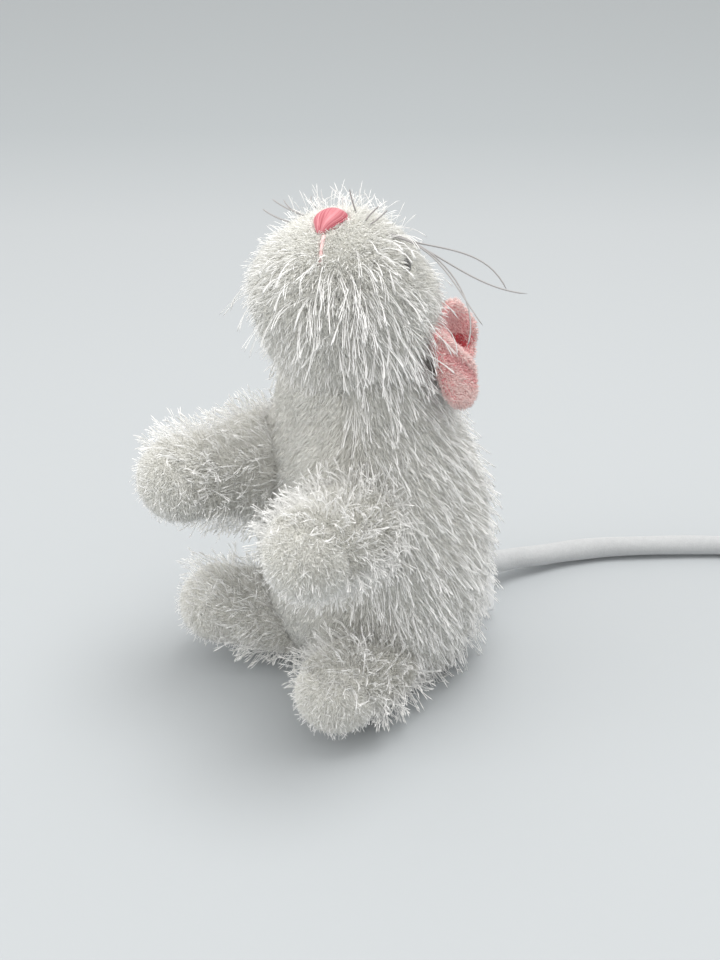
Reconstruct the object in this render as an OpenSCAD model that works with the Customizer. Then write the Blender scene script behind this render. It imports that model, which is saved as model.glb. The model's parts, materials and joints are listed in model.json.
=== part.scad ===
// A small plush bean-bag mouse that sits upright with its head thrown back.
// Every soft form is a skin over a filling. The mouse faces -Y, its left side is +X,
// and the origin is the centre of the flat seat that it rests on.

/* [Torso] */
// Radius of the torso's skin at the belly
belly_r = 31.5; // [28:0.5:36]
// Height of the widest part of the belly
belly_z = 44; // [38:1:48]
// Radius of the flat seat
seat_r = 20.5; // [19:0.5:24]
// Height of the neck's centre, along the torso's own axis
neck_z = 92.5; // [86:0.5:98]
// Radius of the neck
neck_r = 20.5; // [19:0.5:21.5]
// How far the torso leans forward
torso_lean = 6; // [3:0.5:8]
// Thickness of the plush fabric
skin_t = 1.2; // [0.9:0.1:1.5]

/* [Head] */
// Radius of the head at the cheeks
head_r = 21.5; // [20:0.5:23]
// Length of the head behind its widest part
head_back = 21; // [19:0.5:23]
// Length of the head from its widest part to the nose
head_front = 27; // [25:0.5:30]
// How far the nose points forward of straight up
head_tilt = 15; // [8:1:22]
// Diameter of an eye
eye_d = 5.2; // [4:0.2:6]
// Radius of the stitched nose
nose_r = 4.6; // [3.6:0.2:5.4]

/* [Ears] */
// Radius of an ear
ear_r = 13.5; // [10:0.5:14]
// Thickness of each of an ear's two layers
ear_t = 1.4; // [1:0.1:1.8]

/* [Arms] */
// Radius of an arm at its thickest
arm_r = 10.5; // [8:0.5:11]
// Length of an arm from the shoulder seam to its tip
arm_len = 38; // [34:1:42]
// How far the left arm rises above level, and how far it points outward
arm_left_rise = 12; // [5:1:20]
arm_left_out = 21; // [12:1:28]
// How far the right arm rises above level, and how far it points outward
arm_right_rise = 7; // [0:0.5:15]
arm_right_out = 12.5; // [0:0.5:20]

/* [Legs] */
// Radius of a foot
leg_r = 10; // [9:0.5:11]
// Length of a leg from the hip seam to the toes
leg_len = 31; // [28:1:34]

/* [Tail] */
// Radius of the tail at its root
tail_root_r = 3.75; // [3.2:0.1:4.2]
// Radius of the tail at its tip
tail_tip_r = 2.7; // [2.2:0.1:3]

/* [Trim] */
// Width of the care label
label_w = 12; // [8:0.5:14]
// Length of the care label as folded
label_l = 13; // [10:0.5:15]
// Diameter of a whisker thread
whisker_d = 0.5; // [0.4:0.05:0.8]

/* [Hidden] */
$fn = 64;

left = 1;
right = -1;
big = 300;
arc_steps = 14;
lay_gap = 0.15;      // between layers that are sewn or packed together
seam_gap = 0.4;      // half the slit between two panels that share a seam
fill_inset = skin_t + lay_gap;

plush = [0.93, 0.93, 0.90];
short_plush = [0.96, 0.96, 0.94];
velour = [0.90, 0.92, 0.93];
ear_pink = [0.94, 0.66, 0.68];
nose_pink = [0.95, 0.50, 0.56];
fibre = [0.98, 0.98, 0.98];
satin = [0.97, 0.97, 0.97];
thread_grey = [0.62, 0.62, 0.62];
eye_black = [0.03, 0.03, 0.03];
pellet = [0.80, 0.80, 0.72];

// ---- vectors and frames ----

function unit(v) = v / norm(v);
function reversed(pts) = [for (i = [len(pts) - 1 : -1 : 0]) pts[i]];

// Turns the children's +Z to point along v
module aim(v) {
    rotate([0, acos(v.z / norm(v)), atan2(v.y, v.x)]) children();
}

// Everything below the plane through p whose normal is v
module half_space(p, v) {
    translate(p) aim(v) translate([-big, -big, -2 * big]) cube(2 * big);
}

// Half outline of an egg whose widest part is at height 0
function egg(r, back, front, inset) = [
    for (i = [-arc_steps : arc_steps])
        let (a = 90 * i / arc_steps)
        [(r - inset) * cos(a), ((a < 0 ? back : front) - inset) * sin(a)]
];

// A tube swept along pts, with one radius for each point
module swept(pts, radii, sides) {
    n = len(pts);
    rings = [for (i = [0 : n - 1])
        let (
            t = unit(pts[min(i + 1, n - 1)] - pts[max(i - 1, 0)]),
            u = unit(cross(t, [0, 0, 1])),
            w = cross(u, t)
        )
        each [for (k = [0 : sides - 1])
            pts[i] + radii[i] * (cos(360 * k / sides) * u + sin(360 * k / sides) * w)]
    ];
    walls = [for (i = [0 : n - 2], k = [0 : sides - 1])
        let (a = i * sides + k, b = i * sides + (k + 1) % sides)
        each [[a, b, a + sides], [b, b + sides, a + sides]]
    ];
    caps = [[for (k = [sides - 1 : -1 : 0]) k], [for (k = [0 : sides - 1]) (n - 1) * sides + k]];
    polyhedron(rings, concat(walls, caps));
}

// ---- torso ----

belly_drop = belly_z / sqrt(1 - pow(seat_r / belly_r, 2));
collar_rise = 22;    // how far the skin climbs the neck's dome, in degrees

function torso_radius(z) = z < belly_z
    ? belly_r * sqrt(1 - pow((belly_z - z) / belly_drop, 2))
    : neck_r + (belly_r - neck_r) * (0.5 + 0.5 * cos(180 * (z - belly_z) / (neck_z - belly_z)));

function torso_side(inset, top) = concat(
    [for (i = [0 : 2 * arc_steps])
        let (z = -4 + (neck_z + 4) * i / (2 * arc_steps))
        [torso_radius(z) - inset, z]],
    [for (i = [1 : arc_steps / 2])
        let (a = top * 2 * i / arc_steps)
        [(neck_r - inset) * cos(a), neck_z + (neck_r - inset) * sin(a)]]
);

torso_axis = [0, -sin(torso_lean), cos(torso_lean)];
neck = neck_z * torso_axis;
function on_axis(z) = [0, -z * tan(torso_lean), z];

module lean() {
    rotate([torso_lean, 0, 0]) children();
}

module torso_sector(from, sweep) {
    wall = concat(torso_side(0, collar_rise), reversed(torso_side(skin_t, collar_rise)));
    lean() rotate_extrude(start = from, angle = sweep) polygon(wall);
}

module torso_inside() {
    lean() rotate_extrude() polygon(concat([[0, -4]], torso_side(fill_inset, 90)));
}

// Sockets in the torso for the limbs' sewn roots
root_r = 6;
tail_ball_r = 3.6;
socket_gap = 0.4;

module limb_sockets() {
    for (p = [shoulder(left), shoulder(right), hip(left), hip(right)])
        translate(p) sphere(root_r + socket_gap);
    translate(tail_root) sphere(tail_ball_r + socket_gap);
}

seat_top = skin_t;
module torso_panel(from, sweep) {
    difference() {
        torso_sector(from, sweep);
        half_space([0, 0, seat_top + lay_gap], [0, 0, 1]);
        limb_sockets();
    }
}

torso_twist = 6;     // the torso's front is turned this far to its right
belly_half = 42;     // half the angle that the belly panel spans
slit = 1;            // angle of the slit between two panels

module belly_panel() {
    color(short_plush) torso_panel(270 - torso_twist - belly_half, 2 * belly_half);
}

module back_panel_left() {
    edge = belly_half - torso_twist;
    color(plush) torso_panel(270 + edge + slit, 180 - edge - 2 * slit);
}

module back_panel_right() {
    edge = belly_half + torso_twist;
    color(plush) torso_panel(90 + slit, 180 - edge - 2 * slit);
}

module seat_panel() {
    color(velour) cylinder(r = seat_r, h = seat_top);
}

waist_z = 30;        // the fibre filling is above this, the weighted base below
pouch_r = 15;
pouch_t = 0.6;
pouch_floor = seat_top + 1.6;
pouch_top = waist_z - lay_gap;
tie_r = 3;           // opening of the pouch where it is tied

module torso_filling() {
    color(fibre) difference() {
        torso_inside();
        half_space([0, 0, waist_z], [0, 0, 1]);
        limb_sockets();
    }
}

module base_filling() {
    color(fibre) difference() {
        torso_inside();
        half_space([0, 0, seat_top + lay_gap], [0, 0, 1]);
        half_space([0, 0, pouch_top], [0, 0, -1]);
        translate([0, 0, pouch_floor - lay_gap]) cylinder(r = pouch_r + lay_gap, h = big);
        limb_sockets();
    }
}

module pellet_pouch() {
    color(velour) difference() {
        translate([0, 0, pouch_floor]) cylinder(r = pouch_r, h = pouch_top - pouch_floor);
        translate([0, 0, pouch_floor + pouch_t])
            cylinder(r = pouch_r - pouch_t, h = pouch_top - pouch_floor - 2 * pouch_t);
        translate([0, 0, waist_z - 4]) cylinder(r = tie_r, h = big);
    }
}

module pellet_fill() {
    low = pouch_floor + pouch_t + lay_gap;
    high = pouch_top - pouch_t - 3;
    color(pellet) translate([0, 0, low]) cylinder(r = pouch_r - pouch_t - lay_gap, h = high - low);
}

// Folded tape, sewn by its two ends into the seam beside the tail
label_t = 0.35;
label_turn = 21;     // away from the middle of the back, towards the left
label_z = 2.5;

module care_label() {
    stand = torso_radius(label_z + label_w) + 0.4;
    color(satin) rotate([0, 0, 90 - label_turn]) translate([stand, 0, label_z])
        linear_extrude(label_w) difference() {
            translate([0, -2 * label_t]) square([label_l, 4 * label_t]);
            translate([-1, -label_t]) square([label_l + 1 - label_t, 2 * label_t]);
        }
}

// ---- head ----

head_rise = 21.3;    // from the neck's centre to the middle of the head, upwards
head_reach = 4.5;    // and forwards
head_centre = neck + [0, -head_reach, head_rise];
gusset_half = 22;    // half the angle that the forehead gusset spans
eye_along = 15;      // how far in front of the head's middle the eyes are
eye_turn = 21;       // how far above the head's side line the eyes are
mouth_turn = -60;    // the face is turned to its left, and the mouth with it
shank_r = 0.9;
shank_len = 6;
washer_r = 3.4;
washer_t = 0.8;

function head_radius(z) = head_r * sqrt(1 - pow(z / (z < 0 ? head_back : head_front), 2));

module head_frame() {
    translate(head_centre) rotate([head_tilt, 0, 0]) children();
}

// A point on the head's skin: how far along the head, how far round, and how far off the skin
function on_head(along, turn, off) =
    [(head_radius(along) + off) * cos(turn), (head_radius(along) + off) * sin(turn), along];

// The same, with the distance taken square to the skin
function off_head(along, turn, off) =
    let (spot = on_head(along, turn, 0))
    spot + off * unit([spot.x, spot.y, spot.z * pow(head_r / head_front, 2)]);

module neck_socket() {
    translate(neck) sphere(neck_r + socket_gap);
}

module eye_seat(side) {
    slope = [cos(eye_turn) * side, sin(eye_turn), 0] * head_radius(eye_along) / pow(head_r, 2)
        + [0, 0, eye_along / pow(head_front, 2)];
    spot = on_head(eye_along, eye_turn, 0);
    translate([side * spot.x, spot.y, spot.z]) aim(slope) children();
}

module head_sector(from, sweep) {
    outside = egg(head_r, head_back, head_front, 0);
    inside = egg(head_r, head_back, head_front, skin_t);
    wall = concat(outside, reversed(inside));
    difference() {
        head_frame() rotate_extrude(start = from, angle = sweep) polygon(wall);
        neck_socket();
        head_frame() for (side = [left, right])
            eye_seat(side) translate([0, 0, -shank_len]) cylinder(r = shank_r + lay_gap, h = shank_len + 2);
    }
}

module cheek_left() {
    color(plush) head_sector(-90 + slit, 180 - gusset_half - 2 * slit);
}

module cheek_right() {
    color(plush) head_sector(90 + gusset_half + slit, 180 - gusset_half - 2 * slit);
}

module forehead_gusset() {
    color(short_plush) head_sector(90 - gusset_half, 2 * gusset_half);
}

module head_filling() {
    color(fibre) difference() {
        head_frame() rotate_extrude() polygon(egg(head_r, head_back, head_front, fill_inset));
        neck_socket();
        head_frame() for (side = [left, right])
            eye_seat(side) translate([0, 0, -shank_len - 1])
                cylinder(r = washer_r + lay_gap, h = shank_len + 1);
    }
}

module nose_pad() {
    dome = 2.2;
    under = [for (i = [0 : arc_steps])
        let (r = nose_r * i / arc_steps)
        [r, head_front * sqrt(1 - pow(r / head_r, 2)) + lay_gap]];
    over = [for (i = [arc_steps : -1 : 0])
        let (r = nose_r * i / arc_steps)
        [r, under[i].y + dome * sqrt(1 - pow(0.98 * i / arc_steps, 2))]];
    color(nose_pink) head_frame() rotate_extrude() polygon(concat(under, over));
}

module mouth_stitch() {
    thread_r = 0.5;
    from = 25.9;
    to = 21.5;
    steps = 6;
    line = [for (i = [0 : steps])
        off_head(from + (to - from) * i / steps, mouth_turn, thread_r + 2 * lay_gap)];
    color(nose_pink) head_frame() swept(line, [for (p = line) thread_r], 8);
}

module eye(side) {
    color(eye_black) head_frame() eye_seat(side) rotate_extrude() polygon(concat(
        [[0, -shank_len], [shank_r, -shank_len], [shank_r, lay_gap], [eye_d / 2, lay_gap]],
        [for (i = [1 : arc_steps])
            let (a = 90 * i / arc_steps)
            [eye_d / 2 * cos(a), lay_gap + 0.38 * eye_d * sin(a)]]
    ));
}

module eye_washer(side) {
    color(eye_black) head_frame() eye_seat(side) translate([0, 0, -skin_t - 1.6])
        difference() {
            cylinder(r = washer_r, h = washer_t);
            translate([0, 0, -1]) cylinder(r = shank_r + 0.1, h = washer_t + 2);
        }
}

// Each whisker: how far round the snout it starts, its length, and how far it droops and sweeps back
whisker_along = 22;
whisker_set = [[2, 58, 10, 14], [14, 54, 22, 20], [26, 44, 26, 26], [38, 34, 6, 22]];
whisker_steps = 8;

module whiskers(side) {
    color(thread_grey) head_frame() for (w = whisker_set) {
        root = on_head(whisker_along, w[0], 0.5 + whisker_d);
        away = unit([cos(w[0]), sin(w[0]), 0.1]);
        line = [for (i = [0 : whisker_steps])
            let (s = i / whisker_steps, p = root + away * w[1] * s + [0, w[3] * s * s, -w[2] * s * s])
            [side * p.x, p.y, p.z]];
        swept(line, [for (p = line) whisker_d / 2], 6);
    }
}

// ---- ears ----

ear_along = -6;      // how far behind the head's middle an ear is sewn on
ear_turn = 28;       // how far above the head's side line
ear_drop = [0.22, 0.65, -0.72];
ear_face = [0.93, 0.20, 0.30];
ear_root_off = 1.6;  // the ear's edge stands this far off the head

function head_to_body(p) = head_centre + [
    p.x,
    p.y * cos(head_tilt) - p.z * sin(head_tilt),
    p.y * sin(head_tilt) + p.z * cos(head_tilt)
];
ear_root = head_to_body(on_head(ear_along, ear_turn, ear_root_off));
ear_middle = ear_root + ear_r * unit(ear_drop);

module ear_layer(side, low) {
    color(ear_pink) mirror([side == right ? 1 : 0, 0, 0])
        translate(ear_middle) aim(ear_face) translate([0, 0, low]) cylinder(r = ear_r, h = ear_t);
}

// ---- limbs ----

seam_off = 1.5;      // a limb's root ball is centred this far outside the torso's skin
shoulder_left_z = 61;
shoulder_right_z = 63.5;
shoulder_turn = 42;  // towards the side, away from the middle of the belly panel
hip_z = 13;
hip_turn = 41;

function seam_point(z, turn, side) =
    on_axis(z) + (torso_radius(z / cos(torso_lean)) + seam_off) * [side * sin(turn), -cos(turn), 0];
function shoulder(side) =
    seam_point(side == left ? shoulder_left_z : shoulder_right_z, shoulder_turn - side * torso_twist, side);
function hip(side) = seam_point(hip_z, hip_turn, side);

function pointing(side, out, droop) =
    [side * sin(out) * cos(droop), -cos(out) * cos(droop), -sin(droop)];
arm_left_way = pointing(left, arm_left_out, -arm_left_rise);
arm_right_way = pointing(right, arm_right_out, -arm_right_rise);
leg_left_out = 14;
leg_right_out = 42;
leg_left_rise = 8;
leg_right_rise = 12;
leg_left_way = pointing(left, leg_left_out, -leg_left_rise);
leg_right_way = pointing(right, leg_right_out, -leg_right_rise);

// A ball at the seam that swells into an oval limb along +Z
module limb(len, r, inset) {
    start = 3;
    half = (len - start) / 2;
    sphere(root_r - inset);
    translate([0, 0, start + half]) rotate_extrude() polygon(egg(r, half, half, inset));
}

module limb_shell(len, r) {
    difference() {
        limb(len, r, 0);
        limb(len, r, skin_t);
    }
}

// The plane of a pad's seam: the pad is what lies beyond it
module pad_cut(at, way, depth, tip) {
    look = unit(way + [0, 0, -tip]);
    half_space(at + way * depth, look);
}

arm_pad_depth = 28;
arm_pad_tip = 0.45;
leg_pad_depth = 20;
leg_pad_tip = 0.9;

module limb_skin(at, way, len, r, depth, tip) {
    intersection() {
        translate(at) aim(way) limb_shell(len, r);
        pad_cut(at, way, depth - seam_gap, tip);
    }
}

module limb_pad(at, way, len, r, depth, tip) {
    difference() {
        translate(at) aim(way) limb_shell(len, r);
        pad_cut(at, way, depth, tip);
    }
}

module limb_filling(at, way, len, r) {
    translate(at) aim(way) limb(len, r, fill_inset);
}

module arm_skin(side, way) {
    color(plush) limb_skin(shoulder(side), way, arm_len, arm_r, arm_pad_depth, arm_pad_tip);
}

module paw_pad(side, way) {
    color(short_plush) limb_pad(shoulder(side), way, arm_len, arm_r, arm_pad_depth, arm_pad_tip);
}

module arm_filling(side, way) {
    color(fibre) limb_filling(shoulder(side), way, arm_len, arm_r);
}

module leg_skin(side, way) {
    color(plush) limb_skin(hip(side), way, leg_len, leg_r, leg_pad_depth, leg_pad_tip);
}

module sole(side, way) {
    color(short_plush) limb_pad(hip(side), way, leg_len, leg_r, leg_pad_depth, leg_pad_tip);
}

module leg_filling(side, way) {
    color(fibre) limb_filling(hip(side), way, leg_len, leg_r);
}

// ---- tail ----

// The tail leaves the back level, comes down to the table and curves to the left
tail_root = [0, 26, 11];
tail_route = [[0, 26, 11], [0, 34, 10.7], [0, 43, 9.8], [1, 51, 8], [3, 60, 6.2], [6, 69, 5], [10, 78, 4.3],
    [16, 88, 3.9], [24, 98, 3.7], [33, 108, 3.6], [43, 118, 3.5], [54, 127, 3.4], [67, 135, 3.3],
    [80, 141, 3.2], [94, 145, 3.1]];
tail_sides = 12;
tail_last = len(tail_route) - 1;
tail_wall = 0.8;
tail_end_way = unit(tail_route[tail_last] - tail_route[tail_last - 1]);

function tail_radius(i) = tail_root_r + (tail_tip_r - tail_root_r) * i / tail_last;

// The tube's rings, closed by a round root and a round tip
tail_root_ball = [for (a = [-75, -50, -25])
    [tail_root + [0, tail_ball_r * sin(a), 0], tail_ball_r * cos(a)]];
tail_tip_ball = [for (a = [30, 55, 80])
    [tail_route[tail_last] + tail_tip_r * sin(a) * tail_end_way, tail_tip_r * cos(a)]];
tail_tube = [for (i = [0 : tail_last]) [tail_route[i], tail_radius(i)]];

module tail_skin() {
    outside = concat(tail_root_ball, tail_tube, tail_tip_ball);
    bore = concat([[tail_root - [0, 8, 0], tail_root_r]], tail_tube);
    color(velour) difference() {
        swept([for (ring = outside) ring[0]], [for (ring = outside) ring[1]], tail_sides);
        swept([for (ring = bore) ring[0]], [for (ring = bore) ring[1] - tail_wall], tail_sides);
    }
}

module tail_core() {
    color(fibre)
        swept(tail_route, [for (ring = tail_tube) ring[1] - tail_wall - lay_gap], tail_sides);
}

belly_panel();
back_panel_left();
back_panel_right();
seat_panel();
torso_filling();
base_filling();
pellet_pouch();
pellet_fill();
care_label();
cheek_left();
cheek_right();
forehead_gusset();
head_filling();
nose_pad();
mouth_stitch();
eye(left);  // eye_left
eye(right);  // eye_right
eye_washer(left);  // eye_washer_left
eye_washer(right);  // eye_washer_right
whiskers(left);  // whiskers_left
whiskers(right);  // whiskers_right
ear_layer(left, lay_gap);  // ear_left_front
ear_layer(left, -ear_t);  // ear_left_back
ear_layer(right, lay_gap);  // ear_right_front
ear_layer(right, -ear_t);  // ear_right_back
arm_skin(left, arm_left_way);  // arm_left_skin
paw_pad(left, arm_left_way);  // paw_pad_left
arm_filling(left, arm_left_way);  // arm_left_filling
arm_skin(right, arm_right_way);  // arm_right_skin
paw_pad(right, arm_right_way);  // paw_pad_right
arm_filling(right, arm_right_way);  // arm_right_filling
leg_skin(left, leg_left_way);  // leg_left_skin
sole(left, leg_left_way);  // sole_left
leg_filling(left, leg_left_way);  // leg_left_filling
leg_skin(right, leg_right_way);  // leg_right_skin
sole(right, leg_right_way);  // sole_right
leg_filling(right, leg_right_way);  // leg_right_filling
tail_skin();
tail_core();
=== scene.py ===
"""Looks of a small sitting plush mouse: two lengths of white pile over sewn skins, pink folded ears,
a satin-stitched nose, thread whiskers, a velour tail and a folded label. Lengths are in millimetres
until a mesh is made, and every place comes from the frame or from the named values below."""
import json
from math import cos, pi, radians, sin

import bpy
import numpy as np
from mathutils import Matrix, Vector


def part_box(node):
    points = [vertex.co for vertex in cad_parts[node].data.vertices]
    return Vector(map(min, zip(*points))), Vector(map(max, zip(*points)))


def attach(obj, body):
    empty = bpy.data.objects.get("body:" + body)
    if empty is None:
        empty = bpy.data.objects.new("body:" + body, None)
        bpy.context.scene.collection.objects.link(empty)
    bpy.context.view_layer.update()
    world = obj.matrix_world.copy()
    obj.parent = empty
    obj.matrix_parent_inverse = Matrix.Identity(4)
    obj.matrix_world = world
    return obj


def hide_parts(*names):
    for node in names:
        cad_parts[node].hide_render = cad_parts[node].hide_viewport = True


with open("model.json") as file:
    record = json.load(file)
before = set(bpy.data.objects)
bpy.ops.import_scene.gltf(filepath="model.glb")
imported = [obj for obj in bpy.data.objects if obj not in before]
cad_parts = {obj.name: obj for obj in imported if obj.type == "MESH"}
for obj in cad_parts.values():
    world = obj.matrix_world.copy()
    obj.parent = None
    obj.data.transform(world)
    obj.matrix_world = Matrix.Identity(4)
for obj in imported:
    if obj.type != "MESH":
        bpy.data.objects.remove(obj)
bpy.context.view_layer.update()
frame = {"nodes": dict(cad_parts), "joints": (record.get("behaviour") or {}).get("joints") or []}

MM = 0.001
UP = np.array([0.0, 0.0, 1.0])
SIDES = {"left": 1, "right": -1}

# ---- camera, light and floor ----

AZIMUTH = radians(45)
ELEVATION = radians(28)
DISTANCE = 0.430
TARGET = Vector((-0.0021, -0.0082, 0.059))
LENS = 56.25


def link(obj):
    bpy.context.scene.collection.objects.link(obj)
    return obj


def make_camera():
    back = Vector((sin(AZIMUTH) * cos(ELEVATION), -cos(AZIMUTH) * cos(ELEVATION), sin(ELEVATION)))
    data = bpy.data.cameras.new("camera")
    data.lens = LENS
    data.clip_start = 0.01
    camera = link(bpy.data.objects.new("camera", data))
    camera.location = TARGET + back * DISTANCE
    camera.rotation_euler = back.to_track_quat("Z", "Y").to_euler()
    bpy.context.scene.camera = camera


def area_light(name, place, size, power, colour=(1, 1, 1)):
    data = bpy.data.lights.new(name, "AREA")
    data.shape = "DISK"
    data.size = size
    data.energy = power
    data.color = colour
    light = link(bpy.data.objects.new(name, data))
    light.location = place
    light.rotation_euler = Vector(place).to_track_quat("Z", "Y").to_euler()


def make_light():
    world = bpy.data.worlds.new("soft_tent")
    world.use_nodes = True
    background = world.node_tree.nodes["Background"]
    background.inputs["Color"].default_value = (1.0, 0.985, 0.96, 1)
    background.inputs["Strength"].default_value = 1.05
    bpy.context.scene.world = world
    area_light("top_softbox", (0.10, 0.10, 0.9), 0.6, 5.0, (1.0, 0.99, 0.97))
    area_light("front_softbox", (-0.45, -0.80, 0.35), 0.7, 3.2, (1.0, 0.99, 0.97))
    bpy.context.scene.view_settings.view_transform = "Standard"
    bpy.context.scene.cycles.diffuse_bounces = 12


# ---- materials ----

def new_material(name):
    material = bpy.data.materials.new(name)
    material.use_nodes = True
    return material, material.node_tree, material.node_tree.nodes["Principled BSDF"]


def set_inputs(shader, values):
    for socket, value in values.items():
        shader.inputs[socket].default_value = value


def plain(name, colour, **values):
    """A shade of thread: single filaments are one colour along their length."""
    material, _, shader = new_material(name)
    shader.inputs["Base Color"].default_value = (*colour, 1)
    set_inputs(shader, {key.replace("_", " "): value for key, value in values.items()})
    return material


def woven(name, low, high, size, roughness=0.85, bump=0.3, stretch=(1, 1, 1), **values):
    """Cloth whose colour and height vary over a given size, in millimetres."""
    material, tree, shader = new_material(name)
    nodes, links = tree.nodes, tree.links
    place = nodes.new("ShaderNodeTexCoord")
    scaling = nodes.new("ShaderNodeMapping")
    scaling.inputs["Scale"].default_value = stretch
    links.new(place.outputs["Object"], scaling.inputs["Vector"])
    mottle = nodes.new("ShaderNodeTexNoise")
    set_inputs(mottle, {"Scale": 1 / (size * MM * 4), "Detail": 3.0})
    grain = nodes.new("ShaderNodeTexNoise")
    set_inputs(grain, {"Scale": 1 / (size * MM), "Detail": 4.0, "Roughness": 0.6})
    for texture in (mottle, grain):
        links.new(scaling.outputs["Vector"], texture.inputs["Vector"])
    ramp = nodes.new("ShaderNodeValToRGB")
    ramp.color_ramp.elements[0].position = 0.3
    ramp.color_ramp.elements[0].color = (*low, 1)
    ramp.color_ramp.elements[1].position = 0.7
    ramp.color_ramp.elements[1].color = (*high, 1)
    blend = nodes.new("ShaderNodeMath")
    blend.operation = "MULTIPLY_ADD"
    blend.inputs[1].default_value = 0.5
    links.new(mottle.outputs["Fac"], blend.inputs[0])
    half = nodes.new("ShaderNodeMath")
    half.operation = "MULTIPLY"
    half.inputs[1].default_value = 0.5
    links.new(grain.outputs["Fac"], half.inputs[0])
    links.new(half.outputs[0], blend.inputs[2])
    links.new(blend.outputs[0], ramp.inputs["Fac"])
    links.new(ramp.outputs["Color"], shader.inputs["Base Color"])
    relief = nodes.new("ShaderNodeBump")
    set_inputs(relief, {"Strength": bump, "Distance": 0.3 * MM})
    links.new(grain.outputs["Fac"], relief.inputs["Height"])
    links.new(relief.outputs["Normal"], shader.inputs["Normal"])
    shader.inputs["Roughness"].default_value = roughness
    set_inputs(shader, {key.replace("_", " "): value for key, value in values.items()})
    return material


def shades(name, dark, light, count, **values):
    """Thread colours from dark to light, so that neighbouring strands differ."""
    dark, light = np.array(dark), np.array(light)
    return [plain(f"{name}_{i + 1}", tuple(dark + (light - dark) * i / (count - 1)), **values)
            for i in range(count)]


# Seeds of the random draws: the first of each part's
SEEDS = dict(torso=100, limb=200, head=300, nose=400, ear=500)


# ---- vectors and meshes ----

def unit(v):
    v = np.asarray(v, float)
    return v / np.linalg.norm(v, axis=-1, keepdims=True)


def smooth(x):
    x = np.clip(x, 0, 1)
    return x * x * (3 - 2 * x)


def bell(x, width):
    return np.exp(-(np.asarray(x) / width) ** 2)


def across(v, normal):
    """The part of v that lies along the surface with that normal."""
    return v - normal * np.sum(v * normal, axis=-1, keepdims=True)


def mesh_object(name, points, quads, triangles=None, materials=(), quad_shade=None, triangle_shade=None):
    """An object from points in millimetres and arrays of four-sided and three-sided faces."""
    quads = np.asarray(quads, int).reshape(-1, 4)
    triangles = np.zeros((0, 3), int) if triangles is None else np.asarray(triangles, int).reshape(-1, 3)
    data = bpy.data.meshes.new(name)
    data.vertices.add(len(points))
    data.vertices.foreach_set("co", (np.asarray(points, float) * MM).astype(np.float32).ravel())
    corners = np.concatenate([quads.ravel(), triangles.ravel()])
    data.loops.add(len(corners))
    data.loops.foreach_set("vertex_index", corners.astype(np.int32))
    starts = np.concatenate([np.arange(len(quads)) * 4, len(quads) * 4 + np.arange(len(triangles)) * 3])
    data.polygons.add(len(starts))
    data.polygons.foreach_set("loop_start", starts.astype(np.int32))
    data.polygons.foreach_set("use_smooth", np.ones(len(starts), bool))
    for material in materials:
        data.materials.append(material)
    if quad_shade is not None:
        shade = np.concatenate([quad_shade, triangle_shade])
        data.polygons.foreach_set("material_index", shade.astype(np.int32))
    data.update(calc_edges=True)
    data.validate()
    return link(bpy.data.objects.new(name, data))


def grid_quads(rows, columns, wrap, first=0):
    """Faces of a grid of points; wrap joins the last column to the first."""
    last = columns if wrap else columns - 1
    i, k = np.meshgrid(np.arange(rows - 1), np.arange(last), indexing="ij")
    right = (k + 1) % columns
    return first + np.stack([i * columns + k, i * columns + right,
                             (i + 1) * columns + right, (i + 1) * columns + k], -1).reshape(-1, 4)


def turned_out(points, quads, triangles):
    """The faces of a closed form, turned so that their normals point outwards."""
    corners = np.concatenate([quads[:, [0, 1, 2]], quads[:, [0, 2, 3]], triangles])
    a, b, c = (points[corners[:, i]] - points[0] for i in range(3))
    if np.sum(a * np.cross(b, c)) < 0:
        return quads[:, ::-1], triangles[:, ::-1]
    return quads, triangles


def shell(name, outer, inner, material):
    """A sheet with thickness, from two grids of points; it is closed along all four edges."""
    rows, columns = outer.shape[:2]
    count = rows * columns
    number = np.arange(count).reshape(rows, columns)
    rim = np.concatenate([number[0, :-1], number[:-1, -1], number[-1, :0:-1], number[:0:-1, 0]])
    following = np.roll(rim, -1)
    edge = np.stack([following, rim, rim + count, following + count], -1)
    faces = np.concatenate([grid_quads(rows, columns, False),
                            grid_quads(rows, columns, False, count)[:, ::-1], edge])
    points = np.concatenate([outer.reshape(-1, 3), inner.reshape(-1, 3)])
    faces, _ = turned_out(points, faces, np.zeros((0, 3), int))
    return mesh_object(name, points, faces, materials=[material])


def closed_body(name, rings, start, end, material):
    """A closed form from rings of points, with a point at each end."""
    rows, columns = rings.shape[:2]
    ring = np.arange(columns)
    following = np.roll(ring, -1)
    first, last = rows * columns, rows * columns + 1
    top = (rows - 1) * columns
    caps = np.concatenate([np.stack([np.full(columns, first), following, ring], -1),
                           np.stack([np.full(columns, last), top + ring, top + following], -1)])
    points = np.concatenate([rings.reshape(-1, 3), [start, end]])
    walls, caps = turned_out(points, grid_quads(rows, columns, True), caps)
    return mesh_object(name, points, walls, caps, [material])


def along_path(path):
    """Unit directions along lines of points, shaped (lines, points, 3)."""
    return unit(np.gradient(path, axis=1))


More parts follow.
